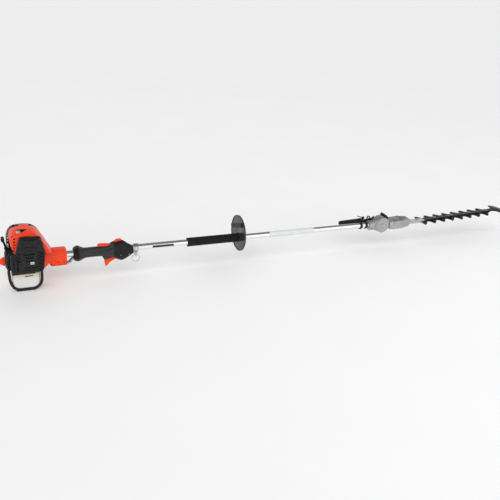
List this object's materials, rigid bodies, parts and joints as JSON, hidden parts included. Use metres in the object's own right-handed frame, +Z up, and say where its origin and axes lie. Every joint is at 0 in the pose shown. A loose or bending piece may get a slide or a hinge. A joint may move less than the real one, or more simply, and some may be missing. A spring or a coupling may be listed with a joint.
{
  "type": "pole hedge trimmer",
  "caption": "Petrol pole hedge trimmer: engine and fuel tank, long pole with rear handle and hand guard, and a tilting double-sided reciprocating cutter.",
  "frame": {"origin": "centre of the flat foot under the fuel tank guard", "axes": "+X along the pole from the engine to the blade tip, +Y to the operator's left, +Z up from the foot"},
  "size_m": [2.4079, 0.158, 0.244],
  "materials": {
    "orange_plastic": "moulded, satin gloss",
    "black_plastic": "fine moulded grain",
    "dark_plastic": "smoked, half gloss",
    "tank_plastic": "milky translucent",
    "cast_alloy": "die cast, tumbled",
    "tube_alloy": "polished and drawn",
    "steel": "machined",
    "plated_steel": "zinc plated",
    "coated_steel": "black coating, worn at the edges",
    "blade_steel": "blackened, ground edges",
    "grip_rubber": "ribbed foam rubber",
    "cable_sheath": "ribbed sleeve",
    "rope_fibre": "braided",
    "filter_felt": "felt",
    "ceramic_plug": "glazed",
    "band_film": "plain film"
  },
  "bodies": {
    "root": {"crankcase": "cast_alloy", "bearings": "steel", "cylinder": "cast_alloy", "piston": "cast_alloy", "connecting_rod": "steel", "crankshaft": "steel", "flywheel": "cast_alloy", "clutch_shoes": "steel", "spark_plug": "ceramic_plug", "plug_boot": "black_plastic", "ignition_coil": "black_plastic", "starter_housing": "black_plastic", "engine_cover": "orange_plastic", "side_shroud": "black_plastic", "engine_base": "black_plastic", "clutch_housing": "orange_plastic", "muffler": "steel", "muffler_cover": "black_plastic", "carburetor": "cast_alloy", "air_filter": "filter_felt", "air_cleaner_cover": "black_plastic", "fuel_tank": "tank_plastic", "fuel_line": "cable_sheath", "tank_guard": "coated_steel", "shaft_bushes": "black_plastic", "outer_tube": "tube_alloy", "handle_left": "black_plastic", "handle_right": "black_plastic", "screws": "plated_steel", "throttle_cable": "cable_sheath", "hanger_clamp": "plated_steel", "front_grip": "grip_rubber", "hand_guard": "dark_plastic", "tube_bands": "band_film", "upper_gearcase": "cast_alloy", "quadrant": "coated_steel"},
    "starter_pull": {"starter_grip": "black_plastic", "starter_rope": "rope_fibre"},
    "pulley": {"recoil_pulley": "black_plastic"},
    "choke": {"choke_lever": "orange_plastic"},
    "primer": {"primer_bulb": "tank_plastic"},
    "cap": {"fuel_cap": "orange_plastic"},
    "drive_line": {"clutch_drum": "steel", "drive_shaft": "steel"},
    "trigger": {"trigger": "orange_plastic"},
    "lockout": {"lockout_lever": "orange_plastic"},
    "switch": {"stop_switch": "orange_plastic"},
    "ring": {"hanger_ring": "plated_steel"},
    "idler": {"idler_gear": "steel"},
    "head": {"lower_gearcase": "cast_alloy", "gearcase_cover": "cast_alloy", "lever_arm": "coated_steel", "lever_grip": "grip_rubber", "guide_bar": "coated_steel", "blade_bolts": "plated_steel"},
    "head_input": {"input_pinion": "steel"},
    "cam": {"cam_gear": "steel"},
    "release": {"release_lever": "coated_steel"},
    "blade_upper": {"upper_blade": "blade_steel"},
    "blade_lower": {"lower_blade": "blade_steel"}
  },
  "joints": [
    {"name": "starter_pull", "type": "slide", "parent": "root", "child": "starter_pull", "axis": [-0.2599, 0, 0.9656], "range_m": [0, 0.5], "stiffness_N_per_m": 20, "deforming": ["starter_rope"]},
    {"name": "pulley_spin", "type": "hinge", "parent": "root", "child": "pulley", "pos_m": [-0.045, 0, 0.112], "axis": [1, 0, 0], "range_deg": [0, 1310]},
    {"name": "choke_turn", "type": "hinge", "parent": "root", "child": "choke", "pos_m": [-0.019, 0.046, 0.174], "axis": [1, 0, 0], "range_deg": [0, 60]},
    {"name": "primer_press", "type": "slide", "parent": "root", "child": "primer", "axis": [0, -1, 0], "range_m": [0, 0.004], "stiffness_N_per_m": 800},
    {"name": "cap_turn", "type": "hinge", "parent": "root", "child": "cap", "pos_m": [-0.075, 0.046, 0.084], "axis": [1, 0, 0], "range_deg": [0, 540]},
    {"name": "drive_spin", "type": "hinge", "parent": "root", "child": "drive_line", "pos_m": [0.1, 0, 0.112], "axis": [1, 0, 0], "continuous": true},
    {"name": "trigger_pull", "type": "hinge", "parent": "root", "child": "trigger", "pos_m": [0.338, 0, 0.085], "axis": [0, 1, 0], "range_deg": [0, 14], "stiffness_Nm_per_rad": 0.6, "springref_deg": -5.73},
    {"name": "lockout_press", "type": "hinge", "parent": "root", "child": "lockout", "pos_m": [0.326, 0, 0.131], "axis": [0, -1, 0], "range_deg": [0, 6], "stiffness_Nm_per_rad": 0.5, "springref_deg": -5.73},
    {"name": "switch_slide", "type": "slide", "parent": "root", "child": "switch", "axis": [1, 0, 0], "range_m": [0, 0.004]},
    {"name": "ring_swing", "type": "hinge", "parent": "root", "child": "ring", "pos_m": [0.424, 0, 0.0812], "axis": [1, 0, 0], "range_deg": [-60, 60]},
    {"name": "head_tilt", "type": "hinge", "parent": "root", "child": "head", "pos_m": [1.588, 0, 0.112], "axis": [0, 1, 0], "range_deg": [-45, 90]},
    {"name": "idler_spin", "type": "hinge", "parent": "root", "child": "idler", "pos_m": [1.588, 0.011, 0.112], "axis": [0, 1, 0], "continuous": true},
    {"name": "input_spin", "type": "hinge", "parent": "head", "child": "head_input", "pos_m": [1.588, 0, 0.112], "axis": [0.9992, 0, 0.0401], "continuous": true},
    {"name": "cam_spin", "type": "hinge", "parent": "head", "child": "cam", "pos_m": [1.67233, 0, 0.10538], "axis": [-0.0401, 0, 0.9992], "continuous": true},
    {"name": "upper_blade_stroke", "type": "slide", "parent": "head", "child": "blade_upper", "axis": [0.9992, 0, 0.0401], "range_m": [-0.016, 0]},
    {"name": "lower_blade_stroke", "type": "slide", "parent": "head", "child": "blade_lower", "axis": [0.9992, 0, 0.0401], "range_m": [0, 0.016]},
    {"name": "release_press", "type": "hinge", "parent": "head", "child": "release", "pos_m": [1.5151, 0.035, 0.13309], "axis": [0, -1, 0], "range_deg": [0, 7], "stiffness_Nm_per_rad": 0.3, "springref_deg": -5.73}
  ],
  "couplings": [
    {"joint": "pulley_spin", "follows": "starter_pull", "rad_per_m": 45.455},
    {"joint": "idler_spin", "follows": "drive_spin", "ratio": 0.66667},
    {"joint": "input_spin", "follows": "drive_spin", "ratio": -1},
    {"joint": "cam_spin", "follows": "drive_spin", "ratio": 0.33333},
    {"joint": "lower_blade_stroke", "follows": "upper_blade_stroke", "ratio": -1}
  ]
}
